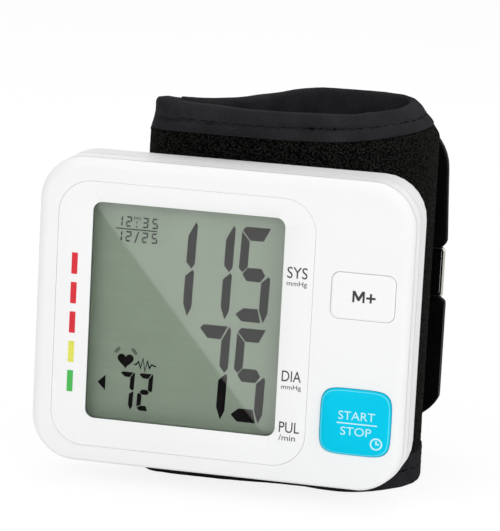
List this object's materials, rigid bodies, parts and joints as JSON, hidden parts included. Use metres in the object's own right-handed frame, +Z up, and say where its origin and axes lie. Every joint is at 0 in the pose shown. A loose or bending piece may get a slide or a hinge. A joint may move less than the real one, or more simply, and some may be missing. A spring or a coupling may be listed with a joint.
{
  "type": "wrist blood pressure monitor",
  "caption": "White rounded wrist blood pressure monitor with a large display, a memory button and a start button, on a black wrap-round cuff closed by a hook-and-loop strap.",
  "frame": {"origin": "middle of the part's bounding box, at the floor under the cuff's lower hem", "axes": "+X to the right of the display, +Y from the display to the back of the cuff, +Z up"},
  "size_m": [0.084, 0.0628, 0.084],
  "materials": {
    "white_shell": "satin",
    "rear_shell": "satin",
    "screw_steel": "satin",
    "panel": "gloss",
    "lens": "gloss",
    "lcd": "satin",
    "dark_plastic": "matte",
    "pale_plastic": "matte",
    "start_cap": "satin",
    "board": "satin",
    "steel": "satin",
    "cell": "satin",
    "rubber": "matte",
    "tube": "satin",
    "velour": "matte",
    "liner_cloth": "matte",
    "hem_cloth": "matte",
    "strap_cloth": "satin",
    "hook_plastic": "matte",
    "ring_chrome": "polished"
  },
  "bodies": {
    "housing": {"front_shell": "white_shell", "rear_shell": "rear_shell", "housing_screw_upper_left": "screw_steel", "housing_screw_upper_right": "screw_steel", "housing_screw_lower_left": "screw_steel", "housing_screw_lower_right": "screw_steel", "display_panel": "panel", "display_lens": "lens", "lcd_frame": "dark_plastic", "lcd_glass": "lcd", "zebra_strip": "rubber", "start_switch": "dark_plastic", "memory_switch": "dark_plastic", "main_board": "board", "controller_chip": "dark_plastic", "buzzer": "dark_plastic", "pressure_sensor": "dark_plastic", "pump_motor": "steel", "pump_head": "dark_plastic", "release_valve": "steel", "air_manifold": "pale_plastic", "pump_tube": "tube", "sensor_tube": "tube", "valve_tube": "tube", "battery_spring": "steel", "battery_plate": "steel", "battery_bridge": "steel", "battery_cell_left": "cell", "battery_cell_right": "cell", "cuff_cover": "velour", "cuff_former": "dark_plastic", "cuff_bladder": "rubber", "cuff_nozzle": "pale_plastic", "cuff_liner": "liner_cloth", "cuff_hem_upper": "hem_cloth", "cuff_hem_lower": "hem_cloth", "cuff_fold": "velour"},
    "battery_cover": {"battery_cover": "rear_shell"},
    "start_button": {"start_button": "start_cap"},
    "memory_button": {"memory_button": "white_shell"},
    "strap": {"cuff_strap": "strap_cloth", "hook_patch": "hook_plastic"},
    "pull_ring": {"pull_ring": "ring_chrome"}
  },
  "joints": [
    {"name": "start_press", "type": "slide", "parent": "housing", "child": "start_button", "axis": [0, 1, 0], "range_m": [0, 0.001], "stiffness_N_per_m": 600},
    {"name": "memory_press", "type": "slide", "parent": "housing", "child": "memory_button", "axis": [0, 1, 0], "range_m": [0, 0.0008], "stiffness_N_per_m": 600},
    {"name": "battery_cover_slide", "type": "slide", "parent": "housing", "child": "battery_cover", "axis": [-1, 0, 0], "range_m": [0, 0.028]},
    {"name": "strap_peel", "type": "hinge", "parent": "housing", "child": "strap", "pos_m": [-0.0241, -0.0023, 0.042], "axis": [0, 0, 1], "range_deg": [0, 120], "deforming": ["cuff_fold"]},
    {"name": "ring_swing", "type": "hinge", "parent": "strap", "child": "pull_ring", "pos_m": [0.036, 0.02965, 0.0436], "axis": [0, 0, 1], "range_deg": [-60, 90]}
  ]
}
